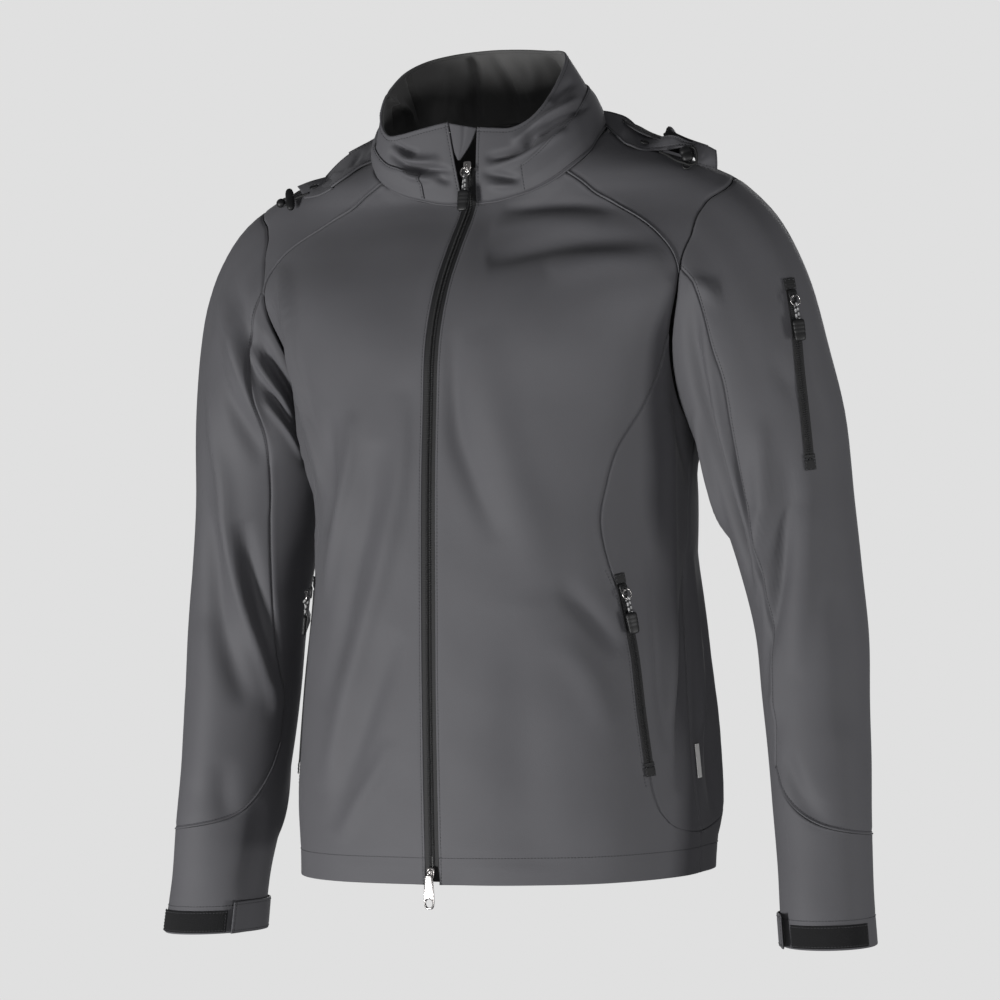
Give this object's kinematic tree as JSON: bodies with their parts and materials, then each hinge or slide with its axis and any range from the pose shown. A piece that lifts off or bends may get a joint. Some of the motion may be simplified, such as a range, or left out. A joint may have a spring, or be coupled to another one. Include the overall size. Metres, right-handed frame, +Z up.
{
  "type": "softshell jacket",
  "caption": "A hip-length zip-front softshell jacket with a stand collar, a hood folded behind it, zip pockets and hook-and-loop cuffs, filled out as worn",
  "frame": {"origin": "Where the wearer's neck and shoulders hold the jacket up: the middle of the neckline at the height of the shoulders", "axes": "+X to the wearer's left, across the fronts; +Y to the wearer's back; +Z up"},
  "size_m": [0.7513, 0.3494, 0.8525],
  "materials": {
    "shell_cloth": "anthracite softshell, tightly woven outer face",
    "zip_tape": "black woven tape, coated, and the black loop side of the cuff patch",
    "zip_teeth": "black moulded coil",
    "grip_rubber": "black moulded grip on a grey and white braided cord",
    "slider_metal": "nickel-plated die casting",
    "cord": "black round elastic cord",
    "label": "white woven ribbon, blank"
  },
  "bodies": {
    "jacket": {"back": "shell_cloth", "bottom_slider": "slider_metal", "collar_flap": "shell_cloth", "collar_inner": "shell_cloth", "collar_outer": "shell_cloth", "cord_lock_left": "grip_rubber", "cord_lock_right": "grip_rubber", "cuff_patch_left": "zip_tape", "cuff_patch_right": "zip_tape", "cuff_strap_left": "shell_cloth", "cuff_strap_right": "shell_cloth", "drawcord_left": "cord", "drawcord_right": "cord", "front_left": "shell_cloth", "front_right": "shell_cloth", "hood_brim_left": "shell_cloth", "hood_brim_right": "shell_cloth", "hood_centre": "shell_cloth", "hood_left": "shell_cloth", "hood_right": "shell_cloth", "hood_tab_left": "shell_cloth", "hood_tab_right": "shell_cloth", "main_slider": "slider_metal", "pocket_slider_left": "slider_metal", "pocket_slider_right": "slider_metal", "pocket_zip_left": "zip_tape", "pocket_zip_right": "zip_tape", "side_back_left": "shell_cloth", "side_back_right": "shell_cloth", "side_front_left": "shell_cloth", "side_front_right": "shell_cloth", "side_label": "label", "sleeve_pocket_slider": "slider_metal", "sleeve_pocket_zip": "zip_tape", "sleeve_under_left": "shell_cloth", "sleeve_under_right": "shell_cloth", "sleeve_upper_left": "shell_cloth", "sleeve_upper_right": "shell_cloth", "yoke_front_left": "shell_cloth", "yoke_front_right": "shell_cloth", "zip_coil": "zip_teeth", "zip_garage": "shell_cloth", "zip_tape_left": "zip_tape", "zip_tape_right": "zip_tape"},
    "main_pull_body": {"main_pull": "grip_rubber"},
    "bottom_pull_body": {"bottom_pull": "slider_metal"},
    "pocket_pull_left_body": {"pocket_pull_left": "grip_rubber"},
    "pocket_pull_right_body": {"pocket_pull_right": "grip_rubber"},
    "sleeve_pocket_pull_body": {"sleeve_pocket_pull": "grip_rubber"}
  },
  "joints": [
    {"name": "main_pull_hinge", "type": "hinge", "parent": "jacket", "child": "main_pull_body", "pos_m": [0, -0.06582, -0.00882], "axis": [-1, 0, 0], "range_deg": [0, 110]},
    {"name": "bottom_pull_hinge", "type": "hinge", "parent": "jacket", "child": "bottom_pull_body", "pos_m": [0, -0.16072, -0.66609], "axis": [-1, 0, 0], "range_deg": [0, 110]},
    {"name": "pocket_pull_left_hinge", "type": "hinge", "parent": "jacket", "child": "pocket_pull_left_body", "pos_m": [0.16919, -0.08221, -0.4031], "axis": [-0.5034, -0.849, -0.1607], "range_deg": [0, 110]},
    {"name": "pocket_pull_right_hinge", "type": "hinge", "parent": "jacket", "child": "pocket_pull_right_body", "pos_m": [-0.16919, -0.08221, -0.40786], "axis": [-0.5034, 0.849, 0.1607], "range_deg": [0, 110]},
    {"name": "sleeve_pocket_pull_hinge", "type": "hinge", "parent": "jacket", "child": "sleeve_pocket_pull_body", "pos_m": [0.31882, -0.02684, -0.13492], "axis": [-0.6596, -0.747, -0.0825], "range_deg": [0, 110]}
  ]
}
